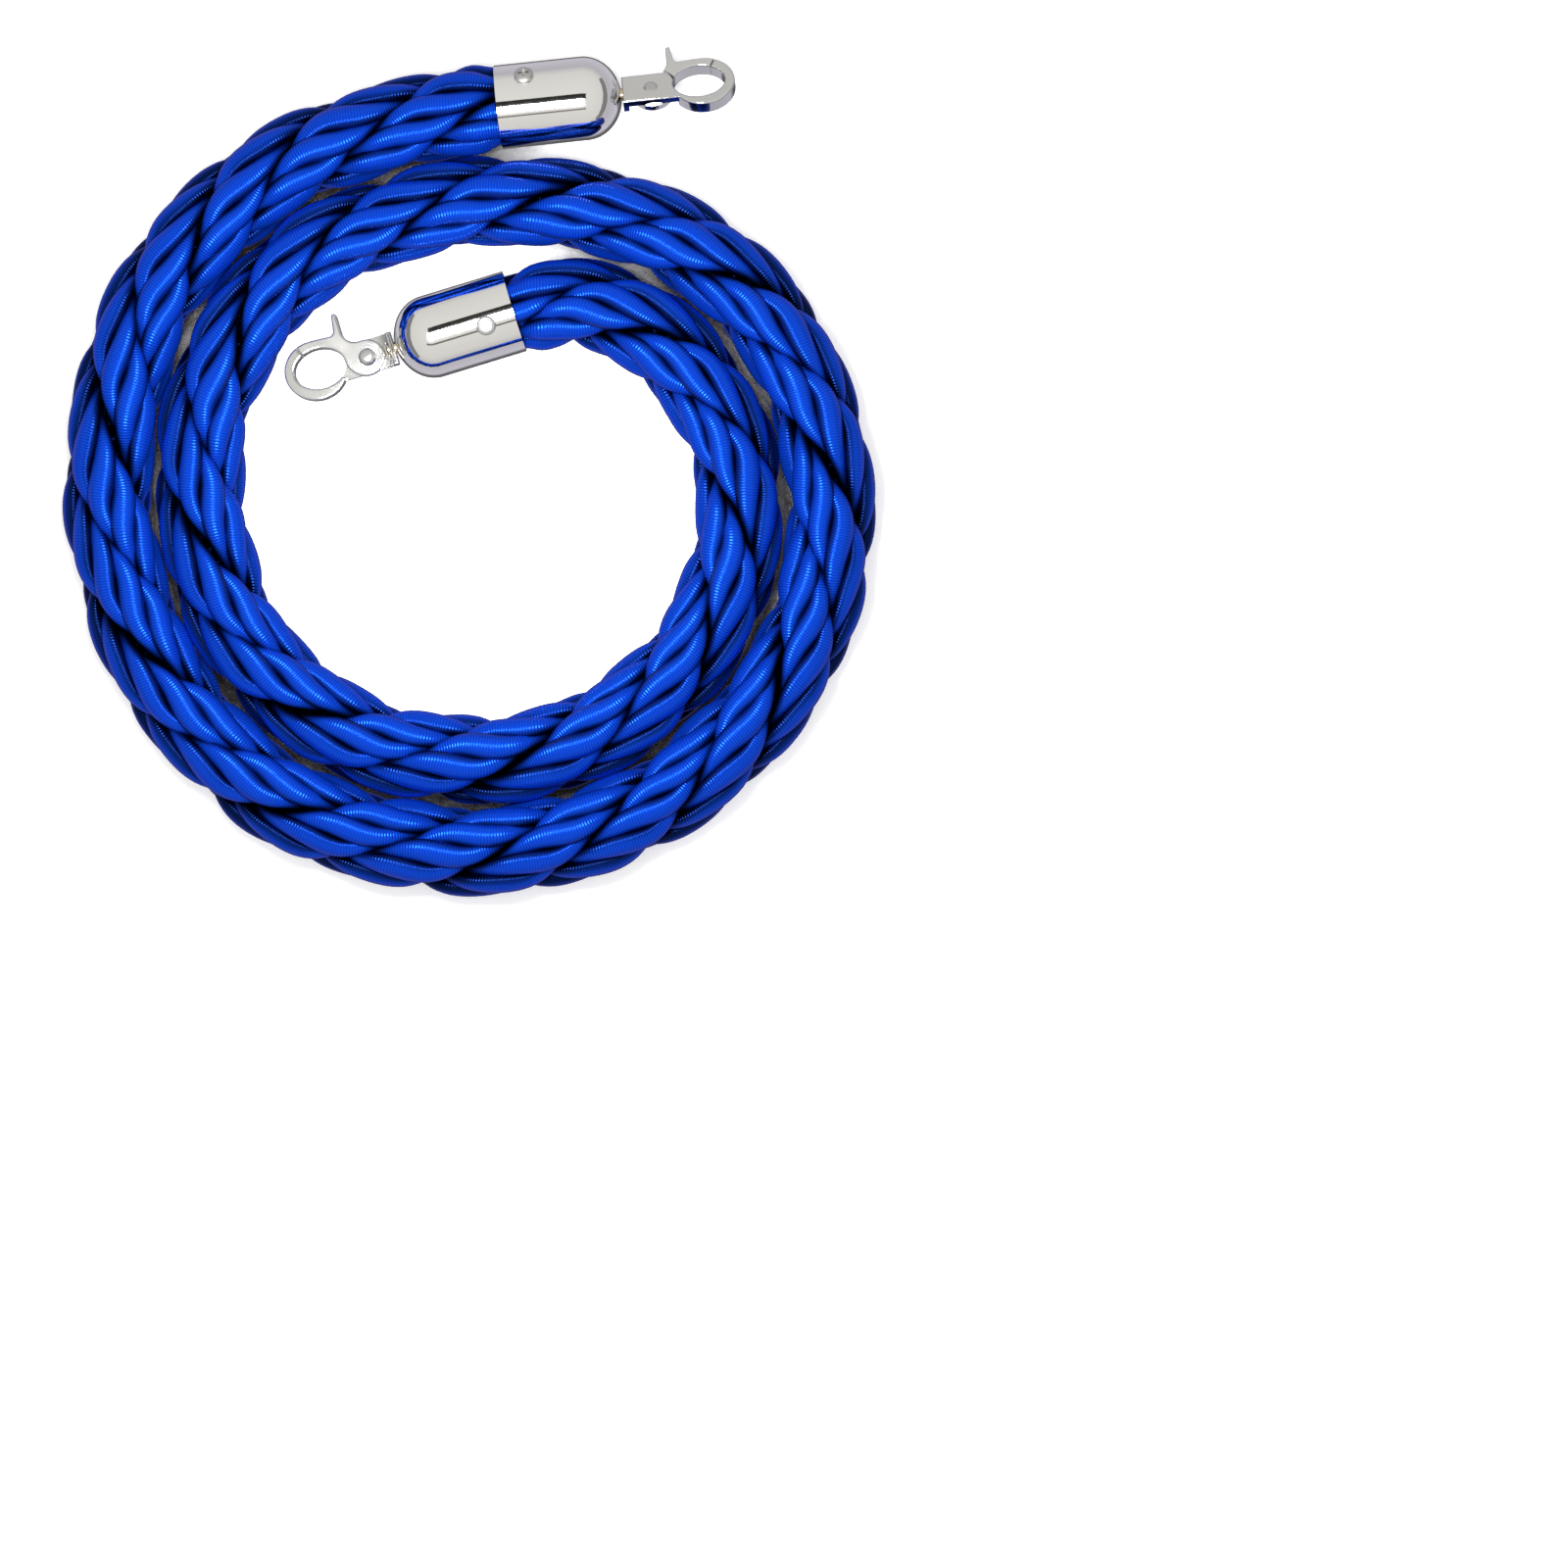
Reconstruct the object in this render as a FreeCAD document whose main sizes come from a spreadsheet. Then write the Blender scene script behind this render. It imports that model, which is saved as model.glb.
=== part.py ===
import FreeCAD, Part
import Sketcher
import math
import os

"""Barrier rope: a thick twisted rope with a chrome cap and a swivelling trigger hook at each end.

It lies on the plane z = 0 in a flat coil of two turns. Millimetres, +Z up. The origin is on that
plane, under the middle of the box round the two metal ends. End a is the outer end of the coil.
"""

SIZES = {
    # rope
    "rope_width": 34.0,
    "rope_end_radius": 14.3,
    "rope_end_length": 30.0,
    "tape_thickness": 0.4,
    # end cap: a drawn cup with a nearly round bottom
    "cap_radius": 16.0,
    "cap_wall": 1.2,
    "cap_straight": 33.2,
    "dome_height": 14.5,
    # self-tapping screws that hold the rope in the cap
    "screw_from_mouth": 11.5,
    "screw_hole_radius": 1.75,
    "screw_length": 9.0,
    "screw_point": 2.5,
    "screw_head_radius": 3.75,
    "screw_head_edge": 0.7,
    "screw_head_height": 1.9,
    "screw_slot_width": 1.0,
    "screw_slot_length": 4.2,
    "screw_slot_depth": 1.2,
    # swivel stud and the washer under its head
    "stud_radius": 2.4,
    "running_gap": 0.06,
    "stud_head_radius": 5.0,
    "stud_head_height": 1.8,
    "peened_radius": 2.9,
    "peened_height": 1.1,
    "washer_radius": 5.5,
    "washer_height": 1.0,
    "washer_from_dome": 2.2,
    # hook, measured outwards from the dome's tip and sideways towards the thumb lever
    "tab_gap": 0.4,
    "tab_thickness": 2.1,
    "plate_low": -6.6,
    "plate_high": 6.3,
    "plate_top": 3.2,
    "plate_inside": 0.1,
    "jaw_bottom": -3.0,
    "jaw_inside": -0.05,
    "pivot_out": 11.4,
    "pivot_side": -0.6,
    "boss_radius": 6.8,
    "heel_radius": 9.6,
    "heel_gap": 0.4,
    "ring_out": 31.8,
    "ring_side": 0.2,
    "ring_reach_out": 12.2,
    "ring_reach_side": 11.4,
    "eye_out": 30.1,
    "eye_side": 0.4,
    "eye_reach_out": 10.0,
    "eye_reach_side": 7.6,
    # pivot rivet and torsion spring
    "rivet_radius": 1.7,
    "rivet_head_radius": 3.3,
    "rivet_head_height": 1.1,
    "rivet_back_radius": 2.7,
    "rivet_back_height": 0.5,
    "spring_radius": 3.3,
    "spring_wire": 0.7,
    "spring_turns": 1.75,
    "spring_pitch": 0.76,
    "recess_radius": 4.6,
    "recess_depth": 2.2,
    "spring_leg": 1.7,
    "spring_leg_radius": 0.31,
    "spring_hole_radius": 0.45,
    "spring_hole_cover": 0.3,
    # roundings of the hook's long edges
    "face_rounding": 0.8,
    "back_rounding": 0.6,
}

COIL_CENTRE = FreeCAD.Vector(-16.2, -98.8, 0)

# Where each end of the rope enters its cap, from the coil's centre, which way the cap points, how
# far the hook and the screws are turned round that line, and how high the cap's middle is.
ENDS = {
    "a": {"mouth": (11.5, 143.6), "heading": 6.0, "hook_roll": -32.0, "screw_roll": 34.0, "height": 17.0},
    "b": {"mouth": (17.7, 65.0), "heading": 197.0, "hook_roll": 180.0, "screw_roll": 14.0, "height": 17.9},
}
STRAIGHT_OUT = {"a": 27.0, "b": 18.0}  # how far the rope's route runs straight out of each cap

# The rope's route from end a to end b: bearing in degrees and reach in mm from the coil's centre.
ROUTE = [
    (120, 144), (150, 145.5), (180, 142.5), (210, 145), (240, 147.5), (270, 147.5), (300, 148.5),
    (330, 148), (358, 144.5), (386, 136), (412, 125), (438, 112), (464, 106.5), (491, 109), (520, 107.5),
    (550, 107), (580, 110), (610, 111.5), (640, 112), (670, 112.5), (697, 110), (717, 106),
    (735, 100.5), (752, 94.5), (767, 88),
]

X, Y, Z = FreeCAD.Vector(1, 0, 0), FreeCAD.Vector(0, 1, 0), FreeCAD.Vector(0, 0, 1)
FULL_TURN = 360.0
SPLIT_BEARING = 64.0  # of the line where the jaw meets the fixed half of the ring
STEP_BEARING = -149.7  # of the other end of the ring's full thickness
FAR = 30.0  # beyond any edge of the hook

doc = FreeCAD.newDocument("BarrierRope")
sheet = doc.addObject("Spreadsheet::Sheet", "Size")
for row, (alias, number) in enumerate(SIZES.items(), start=1):
    sheet.set(f"A{row}", alias)
    sheet.set(f"B{row}", str(number))
    sheet.setAlias(f"B{row}", alias)
doc.recompute()


def size(alias):
    """A driving dimension, read back from the sheet."""
    return float(sheet.get(alias))


def turn(axis, degrees):
    return FreeCAD.Rotation(axis, degrees)


def mouth(end):
    """The middle of the cap's mouth."""
    across, up = ENDS[end]["mouth"]
    return COIL_CENTRE + FreeCAD.Vector(across, up, ENDS[end]["height"])


def outwards(end):
    return turn(Z, ENDS[end]["heading"]).multVec(X)


def turned_place(end):
    """Carries a piece turned about its own Z into the cap, with Z pointing out of the rope."""
    return FreeCAD.Placement(mouth(end), turn(Z, ENDS[end]["heading"]) * turn(Y, 90))


def hook_place(end):
    """Carries a piece of the hook to the dome's tip: X outwards, Y towards the thumb lever."""
    tip = mouth(end) + outwards(end) * (size("cap_straight") + size("dome_height"))
    return FreeCAD.Placement(tip, turn(Z, ENDS[end]["heading"]) * turn(X, ENDS[end]["hook_roll"]))


# --- bound features ------------------------------------------------------------------------------


def bind(item, **expressions):
    """Bind properties of a document object to expressions on the sheet."""
    for name, text in expressions.items():
        item.setExpression(name, text)
    return item


def pin_corner(sketch, index, kind, text):
    """Fix one coordinate of the start of a line to an expression on the sheet."""
    place = float(sketch.evalExpression(text))
    if place == 0:
        axis = -2 if kind == "DistanceX" else -1
        sketch.addConstraint(Sketcher.Constraint("PointOnObject", index, 1, axis))
        return
    ends = (-1, 1, index, 1) if place > 0 else (index, 1, -1, 1)
    number = sketch.addConstraint(Sketcher.Constraint(kind, *ends, abs(place)))
    sketch.setExpression(f"Constraints[{number}]", text if place > 0 else f"-({text})")


def outline(sketch, corners):
    """Draw a closed, fully constrained outline through corners that are pairs of expressions."""
    points = [FreeCAD.Vector(*(float(sketch.evalExpression(text)) for text in corner)) for corner in corners]
    for start, end in zip(points, points[1:] + points[:1]):
        sketch.addGeometry(Part.LineSegment(start, end), False)
    for index in range(len(points)):
        sketch.addConstraint(Sketcher.Constraint("Coincident", index, 2, (index + 1) % len(points), 1))
    for index, (across, along) in enumerate(corners):
        pin_corner(sketch, index, "DistanceX", across)
        pin_corner(sketch, index, "DistanceY", along)


def plane_sketch(body, role, name):
    sketch = body.newObject("Sketcher::SketchObject", name)
    plane = next(item for item in body.Origin.OriginFeatures if item.Role == role)
    sketch.AttachmentSupport = [(plane, "")]
    sketch.MapMode = "FlatFace"
    return sketch


def turned(name, corners):
    """A body of revolution about its own Z: corners are pairs of radius and height."""
    body = doc.addObject("PartDesign::Body", name)
    sketch = plane_sketch(body, "XZ_Plane", f"{name}_profile")
    outline(sketch, corners)
    revolved = body.newObject("PartDesign::Revolution", f"{name}_turned")
    revolved.Profile = sketch
    revolved.ReferenceAxis = (sketch, ["V_Axis"])
    revolved.Angle = FULL_TURN
    sketch.Visibility = False
    return body


def cut(name, base, tool):
    result = doc.addObject("Part::Cut", name)
    result.Base, result.Tool = base, tool
    return result


def fuse(name, pieces):
    result = doc.addObject("Part::MultiFuse", name)
    result.Shapes = pieces
    result.Refine = True
    return result


def cylinder(name, radius, height, place=None):
    item = bind(doc.addObject("Part::Cylinder", name), Radius=radius, Height=height)
    if place:
        item.Placement = place
    return item


# --- end caps and what is in them ----------------------------------------------------------------


def screw_turn(end, side):
    """Turns a screw's own Z to the radius that it is driven along; side 0 or 1 is the first or second."""
    return turn(Z, 180 - ENDS[end]["screw_roll"] + 180 * side) * turn(Y, 90)


def dome(name, radius, height):
    """The upper half of an ellipsoid that stands on the end of the cap's straight wall."""
    item = bind(doc.addObject("Part::Ellipsoid", name), Radius1=height, Radius2=radius, Radius3=radius)
    item.Angle1 = 0
    bind(item, **{"Placement.Base.z": "Size.cap_straight"})
    return item


def end_cap(end):
    """A drawn cup: open mouth, straight wall, nearly round end with the stud's hole, two screw holes."""
    name = f"end_cap_{end}"
    bore = "Size.cap_radius - Size.cap_wall"
    shell = fuse(f"{name}_outside", [
        cylinder(f"{name}_wall", "Size.cap_radius", "Size.cap_straight"),
        dome(f"{name}_dome", "Size.cap_radius", "Size.dome_height"),
    ])
    hollow = fuse(f"{name}_inside", [
        cylinder(f"{name}_bore", bore, "Size.cap_straight"),
        dome(f"{name}_dome_inside", bore, "Size.dome_height - Size.cap_wall"),
    ])
    holes = [cylinder(f"{name}_stud_hole", "Size.stud_radius + Size.running_gap", "3 * Size.cap_straight")]
    for side in (0, 1):
        base = FreeCAD.Vector(0, 0, size("screw_from_mouth"))
        place = FreeCAD.Placement(base, screw_turn(end, side))
        holes.append(cylinder(f"{name}_screw_hole_{side}", "Size.screw_hole_radius", "2 * Size.cap_radius", place))
    cap = cut(name, cut(f"{name}_cup", shell, hollow), fuse(f"{name}_holes", holes))
    cap.Placement = turned_place(end)
    return cap


def rope_end(end):
    """The rope's own end, squeezed into the cap, with the holes that the screws cut in it."""
    name = f"rope_end_{end}"
    plug = cylinder(f"{name}_plug", "Size.rope_end_radius", "Size.rope_end_length")
    result = cut(name, plug, screw_shafts(name, end))
    result.Placement = turned_place(end)
    return result


def end_tape(end):
    """The tape wound round the rope's end, which keeps the strands together inside the cap."""
    name = f"end_tape_{end}"
    outside = cylinder(f"{name}_outside", "Size.rope_end_radius + Size.tape_thickness", "Size.rope_end_length")
    inside = cylinder(f"{name}_inside", "Size.rope_end_radius", "Size.rope_end_length")
    result = cut(name, cut(f"{name}_sleeve", outside, inside), screw_shafts(name, end))
    result.Placement = turned_place(end)
    return result


def screw_shafts(name, end):
    """Both screws' shanks with their points, as a tool that makes room for them."""
    shafts = []
    for side in (0, 1):
        shaft = turned(f"{name}_shaft_{side}", screw_shank() + [("0", "Size.cap_radius")])
        base = FreeCAD.Vector(0, 0, size("screw_from_mouth"))
        shaft.Placement = FreeCAD.Placement(base, screw_turn(end, side))
        shafts.append(shaft)
    return fuse(f"{name}_shafts", shafts)


def screw_shank():
    """Point and shank of a screw, as radius and distance from the cap's axis."""
    return [
        ("0", "Size.cap_radius - Size.screw_length"),
        ("Size.screw_hole_radius", "Size.cap_radius - Size.screw_length + Size.screw_point"),
        ("Size.screw_hole_radius", "Size.cap_radius"),
    ]


def screw_profile():
    edge = "Size.cap_radius + Size.screw_head_edge"
    crown = "Size.cap_radius + Size.screw_head_height"
    return screw_shank() + [
        ("Size.screw_head_radius", "Size.cap_radius"),
        ("Size.screw_head_radius", edge),
        ("0.86 * Size.screw_head_radius", "Size.cap_radius + 0.72 * Size.screw_head_height"),
        ("0.6 * Size.screw_head_radius", "Size.cap_radius + 0.93 * Size.screw_head_height"),
        ("0.3 * Size.screw_head_radius", crown),
        ("0", crown),
    ]


def cap_screw(name, end, side):
    """One pan-head screw with a cross recess, driven along a radius of the cap."""
    body = turned(name, screw_profile())
    doc.recompute()
    sketch = plane_sketch(body, "XY_Plane", f"{name}_cross")
    sketch.AttachmentOffset = FreeCAD.Placement(
        FreeCAD.Vector(0, 0, size("cap_radius") + size("screw_head_height")), FreeCAD.Rotation())
    arm, half = "Size.screw_slot_length / 2", "Size.screw_slot_width / 2"
    outline(sketch, [
        (arm, half), (half, half), (half, arm), (f"-{half}", arm), (f"-{half}", half), (f"-{arm}", half),
        (f"-{arm}", f"-{half}"), (f"-{half}", f"-{half}"), (f"-{half}", f"-{arm}"),
        (half, f"-{arm}"), (half, f"-{half}"), (arm, f"-{half}"),
    ])
    recess = body.newObject("PartDesign::Pocket", f"{name}_recess")
    recess.Profile = sketch
    recess.setExpression("Length", "Size.screw_slot_depth")
    sketch.Visibility = False
    base = FreeCAD.Vector(0, 0, size("screw_from_mouth"))
    body.Placement = FreeCAD.Placement(base, screw_turn(end, side))
    return body


def cap_screws(end):
    name = f"cap_screws_{end}"
    pair = doc.addObject("Part::Compound", name)
    pair.Links = [cap_screw(f"{name}_{side}", end, side) for side in (0, 1)]
    pair.Placement = turned_place(end)
    return pair


DOME_TIP = "(Size.cap_straight + Size.dome_height)"
WASHER_TOP = f"({DOME_TIP} - Size.washer_from_dome)"
WASHER_BOTTOM = f"({WASHER_TOP} - Size.washer_height)"


def stud_washer(end):
    """A flat washer between the stud's head and the inside of the dome."""
    hole = "Size.stud_radius + Size.running_gap"
    washer = turned(f"stud_washer_{end}", [
        (hole, WASHER_BOTTOM),
        ("Size.washer_radius", WASHER_BOTTOM),
        ("Size.washer_radius", WASHER_TOP),
        (hole, WASHER_TOP),
    ])
    washer.Placement = turned_place(end)
    return washer


def swivel_stud(end):
    """The stud that the hook turns on: a head in the cap and an end peened over the hook's tab."""
    head_top = f"({WASHER_BOTTOM} - Size.running_gap)"
    tab_top = f"({DOME_TIP} + Size.tab_gap + Size.tab_thickness)"
    stud = turned(f"swivel_stud_{end}", [
        ("0", f"{head_top} - Size.stud_head_height"),
        ("Size.stud_head_radius", f"{head_top} - Size.stud_head_height"),
        ("Size.stud_head_radius", head_top),
        ("Size.stud_radius", head_top),
        ("Size.stud_radius", tab_top),
        ("Size.peened_radius", tab_top),
        ("Size.peened_radius", f"{tab_top} + 0.5 * Size.peened_height"),
        ("0.6 * Size.peened_radius", f"{tab_top} + Size.peened_height"),
        ("0", f"{tab_top} + Size.peened_height"),
    ])
    stud.Placement = turned_place(end)
    return stud


# --- hooks ---------------------------------------------------------------------------------------


def point(bearing, reach):
    """A point in the hook's plane, from the ring's centre."""
    angle = math.radians(bearing)
    return (size("ring_out") + reach * math.cos(angle), size("ring_side") + reach * math.sin(angle))


def prism(edges, low, high):
    """A closed wire of edges in the hook's plane, drawn up from low to high."""
    face = Part.Face(Part.Wire(Part.__sortEdges__(edges)))
    face.translate(Z * low)
    return face.extrude(Z * (high - low))


def polygon(corners, low, high):
    points = [FreeCAD.Vector(across, side, 0) for across, side in corners]
    return prism(Part.makePolygon(points + points[:1]).Edges, low, high)


def oval(centre, reaches, low, high):
    curve = Part.Ellipse(FreeCAD.Vector(centre[0], centre[1], low), *reaches)
    return Part.Face(Part.Wire(curve.toShape())).extrude(Z * (high - low))


def disc(centre, radius, low, high):
    return Part.makeCylinder(radius, high - low, FreeCAD.Vector(centre[0], centre[1], low))


def ring(low, high):
    """The whole ring of the hook, from low to high, with the eye open."""
    outside = oval((size("ring_out"), size("ring_side")), (size("ring_reach_out"), size("ring_reach_side")), low, high)
    return outside.cut(eye(low, high))


def eye(low, high):
    return oval((size("eye_out"), size("eye_side")), (size("eye_reach_out"), size("eye_reach_side")), low, high)


def pivot():
    return (size("pivot_out"), size("pivot_side"))


def rounded(shape, levels, radius):
    """Round the edges of a shape that lie flat at the given levels."""
    def at_level(edge):
        box = edge.BoundBox
        return any(abs(box.ZMin - z) < 1e-6 and abs(box.ZMax - z) < 1e-6 for z in levels)
    return shape.makeFillet(radius, [edge for edge in shape.Edges if at_level(edge)])


def hook_body(end):
    """The fixed half of the hook: tab, plate, and the outer and lower part of the ring."""
    bottom, top, inside = size("jaw_bottom"), size("plate_top"), size("plate_inside")
    centre = (size("ring_out"), size("ring_side"))
    fixed_zone = polygon([
        centre, point(SPLIT_BEARING, FAR), (2 * FAR, FAR), (2 * FAR, -FAR), (0, -FAR), point(STEP_BEARING, FAR),
    ], bottom, inside)
    ring_thick = ring(bottom, inside).common(fixed_zone)
    jaw_zone = polygon([
        centre, point(SPLIT_BEARING, FAR), (size("pivot_out"), FAR), (size("pivot_out"), size("ring_side")),
    ], inside, top)
    jaw_zone = jaw_zone.cut(disc(pivot(), size("heel_radius"), inside, top))
    tab_in = size("tab_gap")
    tab_out = tab_in + size("tab_thickness")
    low, high = size("plate_low"), size("plate_high")
    plate_end = size("eye_out") - 0.76 * size("eye_reach_out")
    plate = polygon([(tab_in, low), (plate_end, low), (plate_end, high), (tab_in, high)], inside, top)
    layer = plate.fuse(ring(inside, top)).cut(jaw_zone).cut(eye(inside, top))
    tab = polygon([(tab_in, low), (tab_out, low), (tab_out, high), (tab_in, high)], bottom, inside)
    body = layer.fuse([ring_thick, tab]).removeSplitter()
    body = rounded(rounded(body, (top,), size("face_rounding")), (bottom,), size("face_rounding"))
    body = body.cut(disc(pivot(), size("rivet_radius"), inside, top))
    body = body.cut(disc(pivot(), size("recess_radius"), inside, inside + size("recess_depth")))
    recess_floor = inside + size("recess_depth")
    leg_turn = math.radians(FULL_TURN * size("spring_turns"))
    high_leg = (
        size("pivot_out") + size("spring_radius") * math.cos(leg_turn),
        size("pivot_side") + size("spring_radius") * math.sin(leg_turn),
    )
    body = body.cut(disc(high_leg, size("spring_hole_radius"), recess_floor, top - size("spring_hole_cover")))
    stud_hole = Part.makeCylinder(size("stud_radius"), size("tab_thickness"), FreeCAD.Vector(tab_in, 0, 0), X)
    stud_room = Part.makeCylinder(
        size("peened_radius") + size("running_gap"), size("peened_height") + size("running_gap"),
        FreeCAD.Vector(tab_out, 0, 0), X)
    return body.cut(stud_hole).cut(stud_room)


def ellipse_arc(centre, reaches, start, stop):
    """Part of an ellipse in the hook's plane, between two of its own angles in degrees."""
    curve = Part.Ellipse(FreeCAD.Vector(*centre, 0), *reaches)
    return Part.ArcOfEllipse(curve, math.radians(start), math.radians(stop)).toShape()


def ellipse_angle(centre, reaches, bearing):
    """The ellipse's own angle where a line at a bearing from the ring's centre crosses it."""
    low, high = bearing - 60, bearing + 60
    for _ in range(50):
        middle = (low + high) / 2
        across = centre[0] + reaches[0] * math.cos(math.radians(middle)) - size("ring_out")
        side = centre[1] + reaches[1] * math.sin(math.radians(middle)) - size("ring_side")
        if math.degrees(math.atan2(side, across)) < bearing:
            low = middle
        else:
            high = middle
    return middle


def jaw_outline():
    """The jaw from the ring's split over the arch, round the thumb lever, boss and cheek to the eye."""
    def at(across, side):
        return FreeCAD.Vector(across, side, 0)

    def line(start, stop):
        return Part.LineSegment(start, stop).toShape()

    def arc(start, middle, stop):
        return Part.Arc(start, middle, stop).toShape()

    ring_middle, ring_reach = (size("ring_out"), size("ring_side")), (size("ring_reach_out"), size("ring_reach_side"))
    eye_middle, eye_reach = (size("eye_out"), size("eye_side")), (size("eye_reach_out"), size("eye_reach_side"))
    split = SPLIT_BEARING + 1.0
    outer_start = ellipse_angle(ring_middle, ring_reach, split)
    inner_start = ellipse_angle(eye_middle, eye_reach, split)
    arch_outside = ellipse_arc(ring_middle, ring_reach, outer_start, 90)
    arch_inside = ellipse_arc(eye_middle, eye_reach, inner_start, 180)
    pivot_out, pivot_side = pivot()
    boss = size("boss_radius")
    eye_end = at(eye_middle[0] - eye_reach[0], eye_middle[1])
    # the cheek's circle is upright at the eye and holds the boss's circle inside it
    reach, drop = eye_end.x - pivot_out, eye_end.y - pivot_side
    cheek = (reach ** 2 + drop ** 2 - boss ** 2) / (2 * (reach - boss))
    cheek_middle = at(eye_end.x - cheek, eye_end.y)
    away = at(pivot_out, pivot_side) - cheek_middle
    away.normalize()
    touch = cheek_middle + away * cheek
    boss_top = at(pivot_out, pivot_side + boss)
    low_right = cheek_middle + at(math.cos(math.radians(-60)), math.sin(math.radians(-60))) * cheek
    crook = 5.2  # radius of the hollow between the boss and the lever
    crook_start, lever_back = at(18.3 - crook, boss_top.y), at(18.3, boss_top.y + crook)
    crook_middle = at(18.3 - crook, boss_top.y + crook) + at(math.sqrt(0.5), -math.sqrt(0.5)) * crook
    arch_top = at(ring_middle[0], ring_middle[1] + ring_reach[1])
    return [
        arch_outside,
        arc(arch_top, at(27.6, 11.48), at(23.4, 11.1)),
        arc(at(23.4, 11.1), at(21.8, 11.6), at(21.1, 13.0)),
        line(at(21.1, 13.0), at(20.3, 18.2)),
        arc(at(20.3, 18.2), at(19.2, 19.1), at(18.25, 18.1)),
        line(at(18.25, 18.1), lever_back),
        arc(lever_back, crook_middle, crook_start),
        line(crook_start, boss_top),
        arc(boss_top, at(pivot_out - boss, pivot_side), touch),
        arc(touch, low_right, eye_end),
        arch_inside,
        line(arch_inside.Vertexes[0].Point, arch_outside.Vertexes[0].Point),
    ]


def jaw_layer(low, high):
    """The jaw's whole outline, from low to high."""
    return prism(jaw_outline(), low, high)


def trigger_jaw(end):
    """The moving half: a boss on the pivot, a thumb lever, and the arch that closes the ring."""
    bottom, top, inside = size("jaw_bottom"), size("plate_top"), size("jaw_inside")
    room = disc(pivot(), size("heel_radius") + size("heel_gap"), inside, top)
    jaw = jaw_layer(bottom, inside).fuse(jaw_layer(inside, top).cut(room)).removeSplitter()
    jaw = rounded(rounded(jaw, (bottom,), size("face_rounding")), (top,), size("back_rounding"))
    jaw = jaw.cut(disc(pivot(), size("rivet_radius") + size("running_gap"), bottom, inside))
    low_leg = (size("pivot_out") + size("spring_radius"), size("pivot_side"))
    return jaw.cut(disc(low_leg, size("spring_hole_radius"), inside - size("spring_leg"), inside))


def plain_feature(name, shape, place):
    item = doc.addObject("Part::Feature", name)
    item.Shape = shape
    item.Placement = place
    return item


def pivot_rivet(end):
    """The rivet that the jaw turns on, set fast in the plate."""
    bottom = "(Size.jaw_bottom - Size.running_gap)"
    rivet = turned(f"pivot_rivet_{end}", [
        ("0", f"{bottom} - Size.rivet_head_height"),
        ("0.5 * Size.rivet_head_radius", f"{bottom} - 0.9 * Size.rivet_head_height"),
        ("0.85 * Size.rivet_head_radius", f"{bottom} - 0.55 * Size.rivet_head_height"),
        ("Size.rivet_head_radius", bottom),
        ("Size.rivet_radius", bottom),
        ("Size.rivet_radius", "Size.plate_top"),
        ("Size.rivet_back_radius", "Size.plate_top"),
        ("0.7 * Size.rivet_back_radius", "Size.plate_top + Size.rivet_back_height"),
        ("0", "Size.plate_top + Size.rivet_back_height"),
    ])
    rivet.Placement = hook_place(end).multiply(FreeCAD.Placement(FreeCAD.Vector(*pivot(), 0), FreeCAD.Rotation()))
    return rivet


def trigger_spring(end):
    """A torsion spring round the rivet, in the plate's recess, its ends bent into plate and jaw."""
    name = f"trigger_spring_{end}"
    spine = bind(doc.addObject("Part::Helix", f"{name}_line"), Pitch="Size.spring_pitch",
                 Height="Size.spring_pitch * Size.spring_turns", Radius="Size.spring_radius")
    section = bind(doc.addObject("Part::Circle", f"{name}_wire"), Radius="Size.spring_wire / 2")
    section.Placement = FreeCAD.Placement(FreeCAD.Vector(size("spring_radius"), 0, 0), turn(X, 90))
    coil = doc.addObject("Part::Sweep", f"{name}_coil")
    coil.Sections, coil.Spine = [section], (spine, ["Edge1"])
    coil.Solid, coil.Frenet = True, True
    rise = size("plate_inside") + size("spring_wire") / 2 + 0.1
    low_leg = cylinder(f"{name}_low_leg", "Size.spring_leg_radius", "Size.spring_leg")
    low_leg.Placement.Base = FreeCAD.Vector(size("spring_radius"), 0, -size("spring_leg"))
    high_leg = cylinder(f"{name}_high_leg", "Size.spring_leg_radius", "0.6 * Size.spring_leg")
    leg_turn = turn(Z, FULL_TURN * size("spring_turns"))
    high_leg.Placement.Base = leg_turn.multVec(X * size("spring_radius")) + Z * (
        size("spring_pitch") * size("spring_turns"))
    spring = fuse(name, [coil, low_leg, high_leg])
    spring.Placement = hook_place(end).multiply(
        FreeCAD.Placement(FreeCAD.Vector(*pivot(), rise), FreeCAD.Rotation()))
    return spring


# --- rope ----------------------------------------------------------------------------------------


def route_points():
    """The corners of the rope's route, from the mouth of cap a to the mouth of cap b."""
    points = []
    for bearing, reach in ROUTE:
        angle = math.radians(bearing)
        across, up = reach * math.cos(angle), reach * math.sin(angle)
        points.append(COIL_CENTRE + FreeCAD.Vector(across, up, size("rope_width") / 2))
    first = mouth("a") - outwards("a") * STRAIGHT_OUT["a"]
    last = mouth("b") - outwards("b") * STRAIGHT_OUT["b"]
    return [mouth("a"), first, *points, last, mouth("b")]


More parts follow.
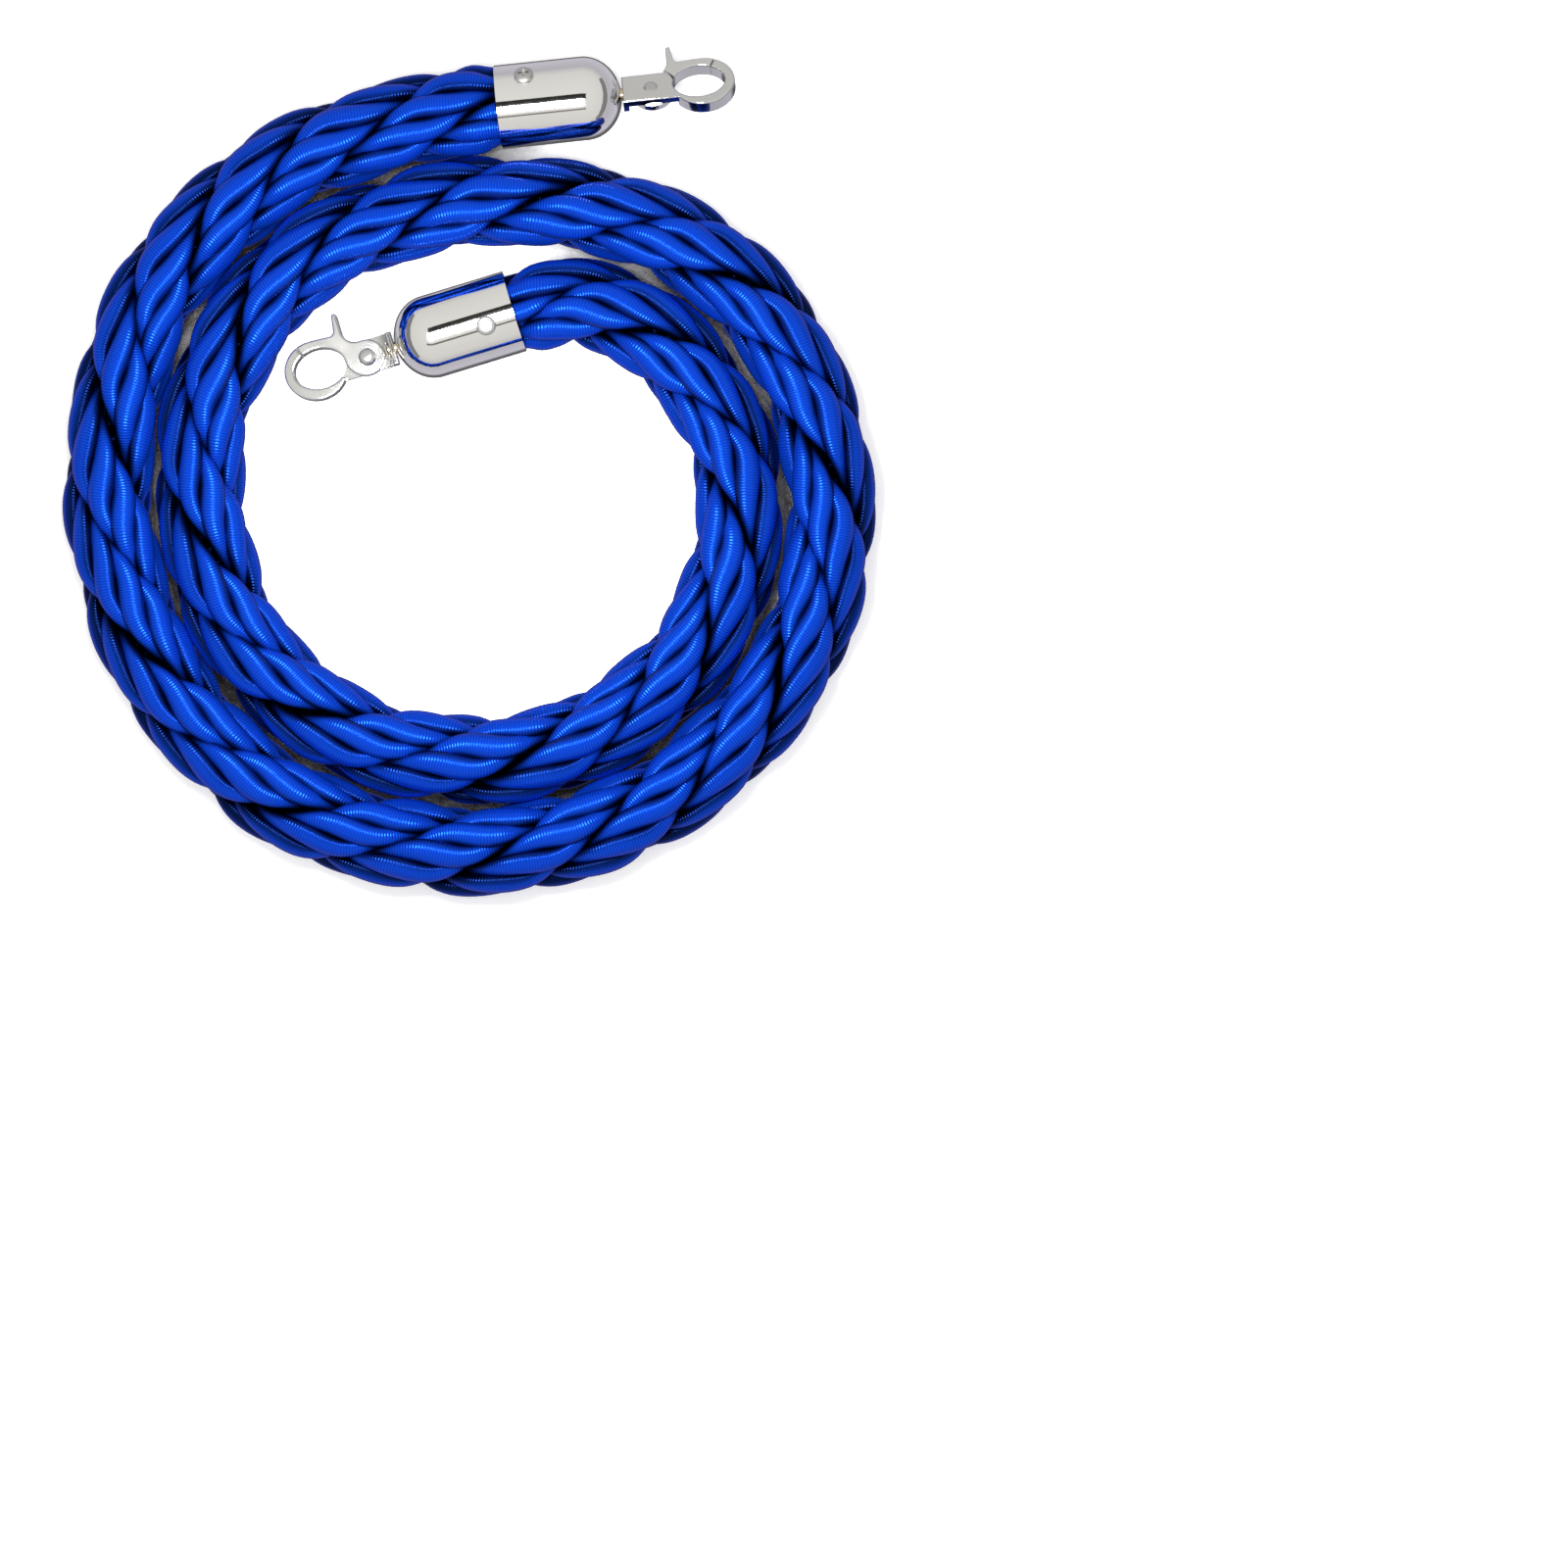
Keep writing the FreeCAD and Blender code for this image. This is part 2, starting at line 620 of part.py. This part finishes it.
def rounded_route(points):
    """Straight runs joined by tangent arcs, as large as the two runs at each corner allow."""
    edges, start, radii = [], points[0], []
    for before, corner, after in zip(points, points[1:], points[2:]):
        back, ahead = before - corner, after - corner
        reach = 0.45 * min(back.Length, ahead.Length)
        half_turn = (math.pi - back.getAngle(ahead)) / 2
        radius = reach / math.tan(half_turn)
        radii.append(radius)
        back.normalize()
        ahead.normalize()
        entry, leave = corner + back * reach, corner + ahead * reach
        middle = back + ahead
        middle.normalize()
        crown = corner + middle * (radius / math.cos(half_turn) - radius)
        edges.append(Part.LineSegment(start, entry).toShape())
        edges.append(Part.Arc(entry, crown, leave).toShape())
        start = leave
    edges.append(Part.LineSegment(start, points[-1]).toShape())
    return Part.Wire(edges), radii


def rope():
    """The rope as a plain round tube along its route."""
    wire, radii = rounded_route(route_points())
    width = size("rope_width")
    print("rope length", round(wire.Length, 1))
    print("rope radii in widths", [round(radius / width, 2) for radius in radii])
    route = plain_feature("rope_route", wire, FreeCAD.Placement())
    section = bind(doc.addObject("Part::Circle", "rope_section"), Radius="Size.rope_width / 2")
    section.Placement = FreeCAD.Placement(mouth("a"), turn(Z, ENDS["a"]["heading"]) * turn(Y, 90))
    tube = doc.addObject("Part::Sweep", "rope")
    tube.Sections = [section]
    tube.Spine = (route, [f"Edge{number}" for number in range(1, len(wire.Edges) + 1)])
    tube.Solid, tube.Frenet = True, False
    doc.recompute()
    expected = math.pi * (width / 2) ** 2 * wire.Length
    print("rope volume over section times length", round(tube.Shape.Volume / expected, 4))
    return tube


# --- build ---------------------------------------------------------------------------------------

nodes = [rope()]
for end in ENDS:
    nodes += [end_cap(end), rope_end(end), end_tape(end), cap_screws(end), stud_washer(end), swivel_stud(end)]
    nodes.append(plain_feature(f"hook_body_{end}", hook_body(end), hook_place(end)))
    nodes.append(plain_feature(f"trigger_jaw_{end}", trigger_jaw(end), hook_place(end)))
    nodes += [pivot_rivet(end), trigger_spring(end)]
doc.recompute()

for item in doc.Objects:
    if {"Invalid", "Error"} & set(item.State):
        raise RuntimeError(f"{item.Name} failed: {item.State}")
for node in nodes:
    if node.Shape.isNull() or not node.Shape.isValid():
        raise RuntimeError(f"{node.Name} has no valid shape")

os.makedirs("parts", exist_ok=True)
for node in nodes:
    node.Label = node.Name
    node.Shape.exportStep(f"parts/{node.Label}.step")
    box = node.Shape.BoundBox
    print(node.Label, len(node.Shape.Solids), round(node.Shape.Volume), [round(v, 1) for v in (
        box.XMin, box.XMax, box.YMin, box.YMax, box.ZMin, box.ZMax)])
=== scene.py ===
import math

import bpy
import numpy as np
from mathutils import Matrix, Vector


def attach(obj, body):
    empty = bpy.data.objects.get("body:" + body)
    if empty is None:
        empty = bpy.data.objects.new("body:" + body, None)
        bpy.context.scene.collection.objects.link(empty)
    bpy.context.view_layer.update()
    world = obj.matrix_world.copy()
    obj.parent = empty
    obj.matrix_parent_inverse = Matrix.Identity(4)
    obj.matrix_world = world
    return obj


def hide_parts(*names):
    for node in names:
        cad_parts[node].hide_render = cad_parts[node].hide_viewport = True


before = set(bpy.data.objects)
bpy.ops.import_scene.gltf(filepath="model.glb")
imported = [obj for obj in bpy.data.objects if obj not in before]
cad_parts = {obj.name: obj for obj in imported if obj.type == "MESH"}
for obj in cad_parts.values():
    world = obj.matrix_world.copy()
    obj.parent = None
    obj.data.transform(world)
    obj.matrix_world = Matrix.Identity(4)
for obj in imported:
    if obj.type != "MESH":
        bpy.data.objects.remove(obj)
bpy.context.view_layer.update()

# --- sizes, in metres ------------------------------------------------------------------------------

COIL_CENTRE = Vector((-0.0162, -0.0988, 0))
ROPE_WIDTH = 0.034
MOUTH_A, HEADING_A = COIL_CENTRE + Vector((0.0115, 0.1436, 0.0170)), 6.0
MOUTH_B, HEADING_B = COIL_CENTRE + Vector((0.0177, 0.0650, 0.0179)), 197.0
STRAIGHT_A, STRAIGHT_B = 0.027, 0.018
# The rope's route from end a to end b: bearing in degrees and reach in mm from the coil's centre.
ROUTE = [
    (120, 144), (150, 145.5), (180, 142.5), (210, 145), (240, 147.5), (270, 147.5), (300, 148.5),
    (330, 148), (358, 144.5), (386, 136), (412, 125), (438, 112), (464, 106.5), (491, 109), (520, 107.5),
    (550, 107), (580, 110), (610, 111.5), (640, 112), (670, 112.5), (697, 110), (717, 106),
    (735, 100.5), (752, 94.5), (767, 88),
]

# The rope: three strands laid up to the left, each of five satin cords that turn round each other
LAY = 0.127
STRANDS = 3
FIRST_STRAND = 0.6  # how far the first strand is turned at the rope's start, in radians
CORDS = 5
CORD_TURNS_PER_LAY = 2.18
CORD_WIDE, CORD_DEEP = 0.0098, 0.0080
CORD_LEAN = math.radians(12.0)  # of each cord's section, so that one of its edges stands higher
CORD_REACH = 0.0138  # of the outermost cord's middle from the rope's middle
LOOP_OUT, LOOP_SIDE = 0.0044, 0.0076  # half of a cord's travel outwards and sideways in its strand
INNER_SWELL = 0.50  # a cord's size where it runs through the middle of the rope, against its outside
SWELL_POWER = 1.2  # how sharply a cord narrows on its way in
WINDING = 2 * math.pi / 0.00105  # turns of thread, in radians per metre of cord
THREAD_DEPTH = 0.0001

# How uneven the rope is: the size of each wave and the length of rope that it takes per radian
SLOW_WANDER, SLOW_LENGTH = 0.14, 0.053  # of the strands' turn, in radians
QUICK_WANDER, QUICK_LENGTH = 0.10, 0.031
BULGE, FATTER = 0.025, 0.07  # of the cords' places and of their sizes
LUMP_LENGTHS = 0.023, 0.0137

# Where the rope goes into a cap
MOUTH_SQUEEZE = 0.87  # of the rope's width
SQUEEZE_LENGTH = 0.010

# The mesh of a cord
STEP = 0.002  # along the rope
CORD_SIDES = 16

# The camera
SENSOR_WIDTH = 0.036
FOCAL_LENGTH = 0.100
VIEW_WIDTH = 0.604  # of the sheet, seen from side to side
VIEW_MIDDLE = Vector((0.1215, -0.1170, 0))  # from the coil's centre

# The studio
FLOOR_REACH, FLOOR_DROP = 4.0, 0.0002
FLOOR_GLOW = 0.3
SHADE_REACH = 0.05  # how near the rope has to be for the floor to darken between its laps
RIG_HEIGHT = 0.45  # of the lamp and of the cards over the part
LAMP_OVER, LAMP_SIZE, LAMP_POWER = (-0.016, -0.099), (0.15, 0.142), 3.0
SOFT_OVER, SOFT_HEIGHT, SOFT_SIZE, SOFT_POWER = (0.1, -0.2), 1.9, (1.6, 1.6), 10
SIDE_CARD_AWAY = 0.7


# --- camera ------------------------------------------------------------------------------------------


def look_from_above():
    """A camera that looks straight down at the middle of the sheet that the rope lies on."""
    data = bpy.data.cameras.new("camera")
    data.sensor_width = SENSOR_WIDTH * 1000
    data.lens = FOCAL_LENGTH * 1000
    data.clip_start, data.clip_end = 0.05, 20
    camera = bpy.data.objects.new("camera", data)
    height = ROPE_WIDTH / 2 + VIEW_WIDTH * FOCAL_LENGTH / SENSOR_WIDTH
    camera.location = COIL_CENTRE + VIEW_MIDDLE + Vector((0, 0, height))
    bpy.context.collection.objects.link(camera)
    bpy.context.scene.camera = camera


# --- rope ----------------------------------------------------------------------------------------


def outwards(heading):
    """The level unit vector at a heading in degrees."""
    angle = math.radians(heading)
    return Vector((math.cos(angle), math.sin(angle), 0))


def route_points():
    """The control points of the rope's line, from the mouth of cap a to the mouth of cap b."""
    points = [MOUTH_A, MOUTH_A - outwards(HEADING_A) * STRAIGHT_A]
    middle = COIL_CENTRE + Vector((0, 0, ROPE_WIDTH / 2))
    points += [middle + outwards(bearing) * reach / 1000 for bearing, reach in ROUTE]
    return points + [MOUTH_B - outwards(HEADING_B) * STRAIGHT_B, MOUTH_B]


def reach_along(points):
    """How far along a line each of its points is."""
    steps = np.linalg.norm(np.diff(points, axis=0), axis=1)
    return np.concatenate([[0], np.cumsum(steps)])


def rope_line():
    """The rope's smooth line as evenly spaced points, with how far along it each point is."""
    data = bpy.data.curves.new("rope_line", "CURVE")
    data.dimensions = "3D"
    data.resolution_u = 24
    spline = data.splines.new("NURBS")
    points = route_points()
    spline.points.add(len(points) - 1)
    for point, place in zip(spline.points, points):
        point.co = (*place, 1)
    spline.order_u = 3
    spline.use_endpoint_u = True
    curve = bpy.data.objects.new("rope_line", data)
    mesh = bpy.data.meshes.new_from_object(curve)
    line = np.array([vertex.co for vertex in mesh.vertices], float)
    bpy.data.objects.remove(curve)
    reach = reach_along(line)
    along = np.linspace(0, reach[-1], int(reach[-1] / STEP) + 1)
    line = np.stack([np.interp(along, reach, line[:, axis]) for axis in range(3)], axis=1)
    return along, line


def unit(vectors):
    return vectors / np.linalg.norm(vectors, axis=1)[:, None]


def left_and_up(line):
    """Unit vectors to the left of a line that lies flat and up from it, at each point."""
    forward = unit(np.gradient(line, axis=0))
    left = unit(np.cross([0, 0, 1], forward))
    return left, np.cross(forward, left)


def smooth_step(value):
    value = np.clip(value, 0, 1)
    return value * value * (3 - 2 * value)


def cord_loop(turned):
    """Where a cord's middle is in its strand when it has turned so far: outwards and sideways."""
    return np.stack([
        CORD_REACH - LOOP_OUT + LOOP_OUT * np.cos(turned),
        LOOP_SIDE * np.sin(turned),
    ], axis=-1)


def cord_rings(line, outward, swell, turns):
    """The rings of points round one cord: oval, leaning, and flat where the rope rests on the floor."""
    forward = unit(np.gradient(line, axis=0))
    up = unit(outward - (outward * forward).sum(1)[:, None] * forward)
    side = np.cross(forward, up)
    wide_way = side * math.cos(CORD_LEAN) - up * math.sin(CORD_LEAN)
    deep_way = up * math.cos(CORD_LEAN) + side * math.sin(CORD_LEAN)
    ring = deep_way[:, None] * np.cos(turns)[:, None] * CORD_DEEP / 2
    ring = ring + wide_way[:, None] * np.sin(turns)[:, None] * CORD_WIDE / 2
    ring = line[:, None] + ring * swell[:, None, None]
    ring[:, :, 2] = np.maximum(ring[:, :, 2], 0)
    return ring


def cord_faces(first, rings):
    """The quads round a cord and the caps at its two ends, from its first point's number."""
    start = first + np.arange(rings - 1)[:, None] * CORD_SIDES
    here = start + np.arange(CORD_SIDES)
    after = start + (np.arange(CORD_SIDES) + 1) % CORD_SIDES
    quads = np.stack([here, after, after + CORD_SIDES, here + CORD_SIDES], axis=-1)
    last = first + (rings - 1) * CORD_SIDES
    near_cap = list(range(first + CORD_SIDES - 1, first - 1, -1))
    far_cap = list(range(last, last + CORD_SIDES))
    return quads.reshape(-1, 4).tolist() + [near_cap, far_cap]


def strand_mesh(name, cords):
    """A mesh of closed cords, each given as its line, the ways outwards, its swell and its reach.

    Each point keeps what the satin needs: how far along and around its cord it is, how far it faces
    outwards (top), and how far it is from the rope's middle (reach).
    """
    turns = np.linspace(-math.pi, math.pi, CORD_SIDES, endpoint=False)  # the seam is on the hidden side
    points, faces = [], []
    kept = {"along": [], "around": [], "top": [], "reach": []}
    for number, (line, outward, swell, reach) in enumerate(cords):
        rings = len(line)
        points.append(cord_rings(line, outward, swell, turns).reshape(-1, 3))
        faces += cord_faces(number * rings * CORD_SIDES, rings)
        kept["along"].append(np.repeat(reach_along(line), CORD_SIDES))
        kept["around"].append(np.tile(turns, rings))
        kept["top"].append(np.tile(np.cos(turns), rings))
        kept["reach"].append((reach[:, None] + CORD_DEEP / 2 * np.cos(turns)).ravel())
    mesh = bpy.data.meshes.new(name)
    mesh.from_pydata(np.concatenate(points).tolist(), [], faces)
    for label, values in kept.items():
        values = np.concatenate(values).astype(np.float32)
        mesh.attributes.new(label, "FLOAT", "POINT").data.foreach_set("value", values)
    mesh.polygons.foreach_set("use_smooth", [True] * len(mesh.polygons))
    return mesh


def strand(number, along, line):
    """One of the rope's strands: cords that turn round each other while the strand winds round the rope."""
    left, up = left_and_up(line)
    wander = SLOW_WANDER * np.sin(along / SLOW_LENGTH + 1.1)
    wander = wander + QUICK_WANDER * np.sin(along / QUICK_LENGTH + 2.0 * number)
    turned = FIRST_STRAND + 2 * math.pi * (number / STRANDS - along / LAY) + wander
    out = left * np.cos(turned)[:, None] + up * np.sin(turned)[:, None]
    sideways = up * np.cos(turned)[:, None] - left * np.sin(turned)[:, None]
    from_mouth = np.minimum(along, along[-1] - along)
    squeeze = 1 - (1 - MOUTH_SQUEEZE) * (1 - smooth_step(from_mouth / SQUEEZE_LENGTH))
    long_lump, short_lump = LUMP_LENGTHS
    cords = []
    for index in range(CORDS):
        # The waves start elsewhere on every cord and strand, so that no two of them look alike.
        uneven = np.sin(along / long_lump + 2.1 * index + 1.3 * number)
        uneven = uneven * np.sin(along / short_lump + 0.8 * index)
        travel = 2 * math.pi * (index / CORDS + CORD_TURNS_PER_LAY * along / LAY)
        place = cord_loop(travel) * (squeeze * (1 + BULGE * uneven))[:, None]
        outward = out * place[:, :1] + sideways * place[:, 1:]
        outside = 0.5 + 0.5 * np.cos(travel)
        swell = INNER_SWELL + (1 - INNER_SWELL) * outside ** SWELL_POWER
        swell = swell * squeeze * (1 + FATTER * uneven)
        cords.append((line + outward, outward, swell, np.hypot(place[:, 0], place[:, 1])))
    name = f"strand_{number + 1}"
    piece = bpy.data.objects.new(name, strand_mesh(name, cords))
    bpy.context.collection.objects.link(piece)
    return piece


def make_rope(material):
    along, line = rope_line()
    strands = [strand(number, along, line) for number in range(STRANDS)]
    for piece in strands:
        piece.data.materials.append(material)
        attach(piece, "rope_and_caps")
        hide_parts("rope")


# --- materials -----------------------------------------------------------------------------------


def new_material(name, **values):
    """A material with one Principled shader, whose sockets are set by name."""
    material = bpy.data.materials.new(name)
    material.use_nodes = True
    nodes = material.node_tree.nodes
    shader = nodes["Principled BSDF"]
    for label, value in values.items():
        shader.inputs[label.replace("_", " ")].default_value = value
    return material, nodes, material.node_tree.links, shader


def ramp(nodes, links, source, stops):
    """A colour ramp on a value, with stops of place and colour."""
    node = nodes.new("ShaderNodeValToRGB")
    links.new(source, node.inputs[0])
    elements = node.color_ramp.elements
    while len(elements) < len(stops):
        elements.new(0.5)
    for element, (place, colour) in zip(elements, stops):
        element.position = place
        element.color = (*colour, 1)
    return node.outputs[0]


def grey(level):
    return (level, level, level)


def attribute(nodes, name):
    node = nodes.new("ShaderNodeAttribute")
    node.attribute_name = name
    return node.outputs["Fac"]


def maths(nodes, links, kind, *sources):
    """One sum, worked out on numbers and sockets."""
    node = nodes.new("ShaderNodeMath")
    node.operation = kind
    for socket, source in zip(node.inputs, sources):
        if isinstance(source, (int, float)):
            socket.default_value = source
        else:
            links.new(source, socket)
    return node.outputs[0]


def multiply(nodes, links, first, second):
    """The product of two colours."""
    node = nodes.new("ShaderNodeMix")
    node.data_type, node.blend_type = "RGBA", "MULTIPLY"
    node.inputs["Factor"].default_value = 1.0
    links.new(first, node.inputs["A"])
    links.new(second, node.inputs["B"])
    return node.outputs["Result"]


def raise_surface(nodes, links, shader, height, distance, strength=1.0):
    """Fine relief on a surface, as high as a value says."""
    bump = nodes.new("ShaderNodeBump")
    bump.inputs["Distance"].default_value = distance
    bump.inputs["Strength"].default_value = strength
    links.new(height, bump.inputs["Height"])
    links.new(bump.outputs[0], shader.inputs["Normal"])
    return bump


def satin():
    """Blue satin thread wound round each cord, with shade painted into its colour: darker on its flanks,
    down between the cords and in the grooves between the threads.
    """
    material, nodes, links, shader = new_material(
        "satin", Metallic=0.45, Roughness=0.24, Specular_IOR_Level=1.0)
    shader.inputs["Specular Tint"].default_value = (0.05, 0.18, 1, 1)
    outermost = CORD_REACH + CORD_DEEP / 2
    # Painted shade: the cords' blue is darkened the nearer a point lies to the rope's middle, so it goes
    # near black down between the cords and strands.
    dye_and_crevice_shade = ramp(nodes, links, maths(nodes, links, "MULTIPLY", attribute(nodes, "reach"), 1 / outermost), [
        (0.52, (0.0003, 0.001, 0.012)),
        (0.68, (0.001, 0.016, 0.19)),
        (0.84, (0.003, 0.048, 0.52)),
    ])
    # Painted shade: darker the further a point on a cord faces away from the cord's outer side.
    flank_shade = ramp(nodes, links, attribute(nodes, "top"), [
        (0.0, grey(0.05)),
        (0.42, grey(0.30)),
        (0.68, grey(0.78)),
        (0.92, grey(1)),
    ])
    wound = maths(
        nodes, links, "MULTIPLY_ADD", attribute(nodes, "along"), WINDING, attribute(nodes, "around"))
    ridge = maths(nodes, links, "SINE", wound)
    # Painted shade in the grooves between the wound threads, darker where the thread's ridge dips.
    thread = ramp(nodes, links, maths(nodes, links, "MULTIPLY_ADD", ridge, 0.5, 0.5), [
        (0.0, grey(0.60)),
        (0.6, grey(1)),
    ])
    colour = multiply(nodes, links, multiply(nodes, links, dye_and_crevice_shade, flank_shade), thread)
    links.new(colour, shader.inputs["Base Color"])
    raise_surface(nodes, links, shader, ridge, THREAD_DEPTH, 0.7)
    return material


def object_place(nodes):
    """Where a point is on its own piece."""
    return nodes.new("ShaderNodeTexCoord").outputs["Object"]


def metal(name, colour, roughness):
    """Plated metal with faint wiping marks in its gloss."""
    material, nodes, links, shader = new_material(name, Metallic=1.0)
    shader.inputs["Base Color"].default_value = (*colour, 1)
    marks = nodes.new("ShaderNodeTexNoise")
    marks.inputs["Scale"].default_value = 180
    marks.inputs["Detail"].default_value = 4
    links.new(object_place(nodes), marks.inputs["Vector"])
    spread = maths(nodes, links, "MULTIPLY_ADD", marks.outputs["Fac"], roughness, roughness * 0.5)
    links.new(spread, shader.inputs["Roughness"])
    return material


def cloth(name, colour, threads):
    """Woven cloth or cut fibre: fine rounded threads, with shade painted darker between them."""
    material, nodes, links, shader = new_material(name, Roughness=0.85, Specular_IOR_Level=0.3)
    weave = nodes.new("ShaderNodeTexVoronoi")
    weave.inputs["Scale"].default_value = threads
    links.new(object_place(nodes), weave.inputs["Vector"])
    from_thread = weave.outputs["Distance"]
    # Painted shade: the colour darkens towards the edges of each thread's cell, down between the threads.
    dark = tuple(0.45 * value for value in colour)
    shade = ramp(nodes, links, from_thread, [(0.1, colour), (0.7, dark)])
    links.new(shade, shader.inputs["Base Color"])
    bump = raise_surface(nodes, links, shader, from_thread, 0.0002)
    bump.invert = True
    return material


def finish_fittings():
    """The finish of each CAD piece, the same at both ends of the rope."""
    finishes = {
        "end_tape": cloth("end_tape", (0.06, 0.06, 0.07), 1400),
        "rope_end": cloth("cut_fibre", (0.004, 0.04, 0.40), 900),
        "end_cap": metal("cap_chrome", (0.88, 0.87, 0.85), 0.06),
        "cap_screws": metal("screw_chrome", (0.48, 0.48, 0.47), 0.5),
        "stud_washer": metal("washer_steel", (0.6, 0.6, 0.58), 0.3),
        "swivel_stud": metal("stud_brass", (0.72, 0.58, 0.34), 0.2),
        "hook_body": metal("hook_chrome", (0.68, 0.68, 0.67), 0.08),
        "trigger_jaw": metal("jaw_chrome", (0.72, 0.72, 0.71), 0.10),
        "pivot_rivet": metal("rivet_chrome", (0.55, 0.55, 0.54), 0.16),
        "trigger_spring": metal("spring_steel", (0.55, 0.55, 0.53), 0.25),
    }
    for name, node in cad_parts.items():
        finish = finishes.get(name[:-2])  # the name without its end's letter
        if finish:
            node.data.materials.clear()
            node.data.materials.append(finish)


# --- floor, light and world ------------------------------------------------------------------------


def level_corners(left, right, near, far, height):
    """The corners of a level card or floor."""
    return [(left, near, height), (right, near, height), (right, far, height), (left, far, height)]


def upright_corners(across, near=-1.0, far=0.7, low=0.09, high=0.30):
    """The corners of a card that stands to one side of the part."""
    return [(across, near, low), (across, far, low), (across, far, high), (across, near, high)]


def add_sheet(name, corners, material):
    mesh = bpy.data.meshes.new(name)
    mesh.from_pydata(corners, [], [(0, 1, 2, 3)])
    mesh.materials.append(material)
    sheet = bpy.data.objects.new(name, mesh)
    bpy.context.collection.objects.link(sheet)
    return sheet


def add_card(name, corners, shade):
    """A card that shows only in reflections."""
    material, _, _, shader = new_material(
        name, Roughness=1.0, Specular_IOR_Level=0.0, Emission_Strength=1.0)
    shader.inputs["Base Color"].default_value = (0, 0, 0, 1)
    shader.inputs["Emission Color"].default_value = (*shade, 1)
    card = add_sheet(name, corners, material)
    card.visible_camera = card.visible_diffuse = card.visible_shadow = False


def make_cards():
    """Dark cards over the part and beside it, which give its metal something to reflect."""
    add_card("flag_behind", level_corners(-0.09, 0.10, -0.025, 0.085, RIG_HEIGHT), (0.02, 0.02, 0.02))
    add_card("flag_before", level_corners(-0.14, 0.10, -0.30, -0.255, RIG_HEIGHT), (0.16, 0.15, 0.13))
    add_card("flag_left", upright_corners(-SIDE_CARD_AWAY), (0.22, 0.22, 0.23))
    add_card("flag_right", upright_corners(SIDE_CARD_AWAY), (0.22, 0.22, 0.23))


def make_floor():
    """White paper, glowing faintly, with shade painted dark where the rope's laps close it in."""
    material, nodes, links, shader = new_material(
        "floor", Roughness=0.9, Specular_IOR_Level=0.1, Emission_Strength=FLOOR_GLOW)
    open_sky = nodes.new("ShaderNodeAmbientOcclusion")
    open_sky.samples = 32
    open_sky.inputs["Distance"].default_value = SHADE_REACH
    # Painted shade: the paper turns near black where the rope's laps close it in from the open sky, in its
    # colour and its glow.
    paper = ramp(nodes, links, open_sky.outputs["AO"], [
        (0.10, (0.018, 0.015, 0.013)),
        (0.15, grey(0.95)),
    ])
    links.new(paper, shader.inputs["Base Color"])
    links.new(paper, shader.inputs["Emission Color"])
    corners = level_corners(-FLOOR_REACH, FLOOR_REACH, -FLOOR_REACH, FLOOR_REACH, -FLOOR_DROP)
    floor = add_sheet("floor", corners, material)
    floor.visible_glossy = floor.visible_diffuse = False


def add_light(name, over, height, size, power):
    """A rectangular light that looks straight down and isn't seen itself."""
    data = bpy.data.lights.new(name, "AREA")
    data.shape = "RECTANGLE"
    data.size, data.size_y = size
    data.energy = power
    light = bpy.data.objects.new(name, data)
    light.location = (*over, height)
    light.visible_camera = False
    bpy.context.collection.objects.link(light)
    return light


def make_lights():
    add_light("lamp", LAMP_OVER, RIG_HEIGHT, LAMP_SIZE, LAMP_POWER)
    soft_box = add_light("soft_box", SOFT_OVER, SOFT_HEIGHT, SOFT_SIZE, SOFT_POWER)
    soft_box.visible_glossy = False


def make_world():
    """Pale surroundings, greyer at the horizon and dark straight below."""
    world = bpy.data.worlds.new("studio")
    world.use_nodes = True
    nodes, links = world.node_tree.nodes, world.node_tree.links
    way = nodes.new("ShaderNodeSeparateXYZ")
    links.new(nodes.new("ShaderNodeTexCoord").outputs["Generated"], way.inputs[0])
    height = maths(nodes, links, "MULTIPLY_ADD", way.outputs["Z"], 0.5, 0.5)
    shade = ramp(nodes, links, height, [
        (0.07, (0.12, 0.12, 0.13)),
        (0.14, (0.60, 0.58, 0.66)),
        (0.48, (0.50, 0.49, 0.54)),
        (0.66, (0.72, 0.71, 0.69)),
        (1.0, (0.80, 0.79, 0.76)),
    ])
    links.new(shade, nodes["Background"].inputs["Color"])
    nodes["Background"].inputs["Strength"].default_value = 1.0
    bpy.context.scene.world = world


# --- build ---------------------------------------------------------------------------------------

look_from_above()
make_rope(satin())
finish_fittings()
make_floor()
make_world()
make_lights()
make_cards()
bpy.context.scene.view_settings.view_transform = "Standard"
